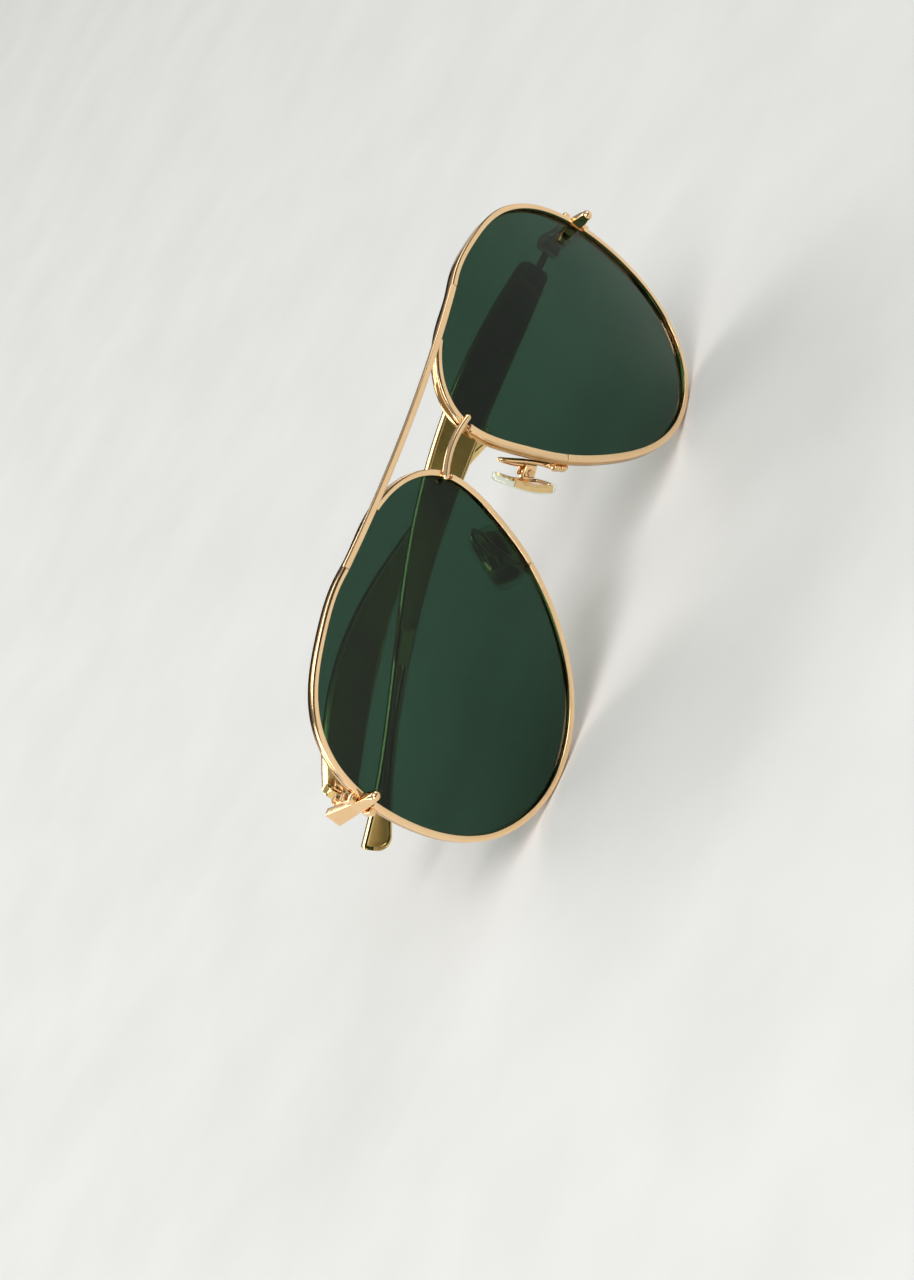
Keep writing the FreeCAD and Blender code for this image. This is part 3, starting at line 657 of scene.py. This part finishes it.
def pad_outline(length, width, power, sides):
    """Rectangle with soft corners, the softer the lower the power."""
    ang = np.linspace(0, 2 * math.pi, sides, endpoint=False)
    c, s = np.cos(ang), np.sin(ang)
    return np.column_stack([np.sign(c) * np.abs(c) ** (2 / power) * length / 2,
                            np.sign(s) * np.abs(s) ** (2 / power) * width / 2])


def bowed(x):
    return -(BOW_R - np.sqrt(BOW_R ** 2 - x * x))


def cushion():
    """Clear pad, crowned towards the nose, with a raised lip round its hollow back."""
    edge = pad_outline(13.6, 8.0, 3.6, 80)
    top = 1.1
    rows = []

    def level(k, z, crown=0.0):
        p = edge * k
        rows.append(np.column_stack([p, top + bowed(p[:, 0]) + z - crown * p[:, 1] ** 2]))

    for k in np.linspace(0.02, 0.92, 12):
        level(k, 0.0, 0.012)
    for k, z in ((0.965, -0.27), (0.99, -0.44), (1.0, -0.69), (1.0, -1.49), (0.99, -1.69), (0.965, -1.79),
                 (0.93, -1.74), (0.915, -1.59), (0.91, -1.41)):
        level(k, z)
    for k in (0.88, 0.75, 0.6, 0.45, 0.3, 0.15, 0.02):
        level(k, -1.38)
    return on_pad(grid(np.array(rows)))


def pad_plate():
    """Gilt plate in the pad, a turned-down front edge, and the eye that the box holds."""
    edge = pad_outline(11.2, 6.6, 5.0, 64)
    front, back = -0.22, -0.6
    levels = [(k, front) for k in (0.02, 0.3, 0.6, 0.9)]
    levels += [(0.985, -0.23), (1.0, -0.3), (1.0, -0.85), (0.985, -0.92), (0.93, -0.92), (0.915, -0.85)]
    levels += [(k, back) for k in (0.91, 0.6, 0.3, 0.02)]
    plate = grid(np.array([np.column_stack([edge * k, z + bowed(edge[:, 0] * k)]) for k, z in levels]))
    sec = rounded(-3.55, -3.2, -0.86, 0.66, 0.1, 4)
    rail = solid([np.column_stack([np.full(len(sec), x), sec[:, 0], sec[:, 1] + bowed(x)])
                  for x in np.linspace(-4.9, 4.9, 40)])
    stem = move(block((1.9, 1.3, 2.1), 0.1), 0, 0, -1.6)
    eye = move(turned(disc(1.0, -0.65, 0.65, 0.08), 90, "X"), 0, 0, -PIN_BACK)
    return on_pad(join(plate, rail, stem, eye))


def pad_box():
    """Two cheeks and a floor round the eye of the plate."""
    cheeks = [move(block((2.8, 0.62, 2.6), 0.3, 5), 0, s * 1.12, -PIN_BACK - 0.35) for s in (-1, 1)]
    return on_pad(join(*cheeks, move(block((2.8, 2.86, 0.62), 0.25, 5), 0, 0, -PIN_BACK - 1.5)))


def pad_arm():
    """Wire from the foot on the rim over a tight turn down to the box, flared where it leaves the foot."""
    seat = PAD_C - NOSE * (PIN_BACK + 1.7) - DOWN * 0.3
    path = smooth_path([FOOT + (-0.5, 0.3, 0.5), FOOT + (-0.7, 1.1, 1.3), (11.2, 6.6, -1.6), (9.8, 7.6, 2.3),
                        (8.75, 8.25, 4.7), (8.65, 9.0, 5.5), (9.2, 9.85, 4.95), (10.6, 10.2, 1.2), seat], 110)
    wire = tube(path, 0.5 + 0.28 * np.exp(-((run_length(path) - 1.2) / 1.1) ** 2), 18)
    halves = [move(block((1.62, 1.75, 1.9), 0.38, 5), 0.89 * k, 0, 0) for k in (-1, 1)]
    core = move(block((1.2, 1.0, 1.7), 0.2, 4), 0, 0.3, 0)
    foot = [turned(turned(piece, 60, "Y"), WRAP_DEG, "Z") for piece in (*halves, core)]
    return join(wire, move(join(*foot), FOOT[0] - 0.6, FOOT[1] + 0.1, FOOT[2]))


# ---- everything with a left and a right ----------------------------------------------------
for side, flip in SIDES:
    make("side_arm_" + side, side_arm(), "gold_fittings", "front", flip, 35)
    for name, sign in (("upper", 1), ("lower", -1)):
        make("closing_lug_" + name + "_" + side, lug(sign), "gold_fittings", "front", flip)
    make("hinge_front_" + side, front_hinge(), "gold_fittings", "front", flip, 30)
    hinge = turned(rear_hinge(), FOLD[side], "Z", HINGE)
    make("temple_hinge_" + side, hinge, "gold_fittings", "temple_" + side, flip, 30)
    mesh, deep = temple()
    obj = make("temple_" + side, turned(mesh, FOLD[side], "Z", HINGE), "gold_temple", "temple_" + side, flip, 38)
    # the faces in the hollows take the darker gold: painted shade
    obj.data.materials.append(GOLD_HOLLOW_PAINTED_SHADE)
    for face, is_deep in zip(obj.data.polygons, deep):
        face.material_index = int(is_deep)
    make("pad_cushion_" + side, cushion(), "pad_clear", "pad_" + side, flip, 60)
    make("pad_plate_" + side, pad_plate(), "gold_fittings", "pad_" + side, flip)
    make("pad_box_" + side, pad_box(), "gold_fittings", "front", flip)
    make("pad_arm_" + side, pad_arm(), "gold_fittings", "front", flip)

# ---- camera, floor, light ----------------------------------------------------------------
CAMERA_AT = Vector((-386.4, -630.9, 275.2)) * MM
CAMERA_AXES = Matrix(((0.30268, -0.51228, -0.80371), (0.83806, -0.25857, 0.48042), (-0.45393, -0.81897, 0.35106)))
FLOOR_HALF, FLOOR_GAP = 8.0, 0.0002

cam = bpy.data.objects.new("camera", bpy.data.cameras.new("camera"))
bpy.context.scene.collection.objects.link(cam)
cam.matrix_world = Matrix.Translation(CAMERA_AT) @ CAMERA_AXES.transposed().to_4x4()
cam.data.lens = 112.5
cam.data.sensor_width = 36
cam.data.clip_end = 50
bpy.context.scene.camera = cam

low = START[0][2] - FLOOR_GAP
data = bpy.data.meshes.new("floor")
corners = [(FLOOR_HALF * x, FLOOR_HALF * y, low) for x, y in ((-1, -1), (1, -1), (1, 1), (-1, 1))]
data.from_pydata(corners, [], [(0, 1, 2, 3)])
floor = bpy.data.objects.new("floor", data)
bpy.context.scene.collection.objects.link(floor)
m, nt, p, _ = material("floor")
pale = ramp(nt, noise(nt, 30.0, 4.0), [(0.3, (0.72, 0.72, 0.70)), (0.7, (0.76, 0.76, 0.74))])
nt.links.new(pale, p.inputs["Base Color"])
p.inputs["Roughness"].default_value = 0.9
floor.data.materials.append(m)

world = bpy.data.worlds.new("studio")
world.use_nodes = True
nt = world.node_tree
background = nt.nodes["Background"]
coord = nt.nodes.new("ShaderNodeTexCoord")
split = nt.nodes.new("ShaderNodeSeparateXYZ")
nt.links.new(coord.outputs["Generated"], split.inputs[0])
sky = ramp(nt, split.outputs["Z"], [(0.0, (0.05, 0.05, 0.05)), (0.22, (0.10, 0.10, 0.10)),
                                    (0.32, (0.70, 0.70, 0.68)), (0.9, (0.95, 0.95, 0.93))])
nt.links.new(sky, background.inputs["Color"])
background.inputs["Strength"].default_value = 0.42
bpy.context.scene.world = world


def lamp(name, place, size, power, aim=(0, 0.02, 0)):
    data = bpy.data.lights.new(name, "AREA")
    data.shape = "RECTANGLE"
    data.size, data.size_y = size
    data.energy = power
    obj = bpy.data.objects.new(name, data)
    obj.location = place
    obj.rotation_mode = "QUATERNION"
    obj.rotation_quaternion = (Vector(aim) - Vector(place)).to_track_quat("-Z", "Y")
    bpy.context.scene.collection.objects.link(obj)


lamp("key", (-0.6, -0.7, 1.3), (0.9, 0.9), 14)
lamp("fill", (1.1, -0.6, 0.6), (0.8, 0.8), 4)
lamp("rim", (0.2, 1.2, 0.9), (1.0, 0.5), 6)
lamp("low back", (-0.5, 0.9, 0.22), (0.7, 0.25), 3)
lamp("side", (-1.0, -0.1, 0.25), (0.5, 0.3), 2.5)
bpy.context.scene.view_settings.view_transform = "Standard"
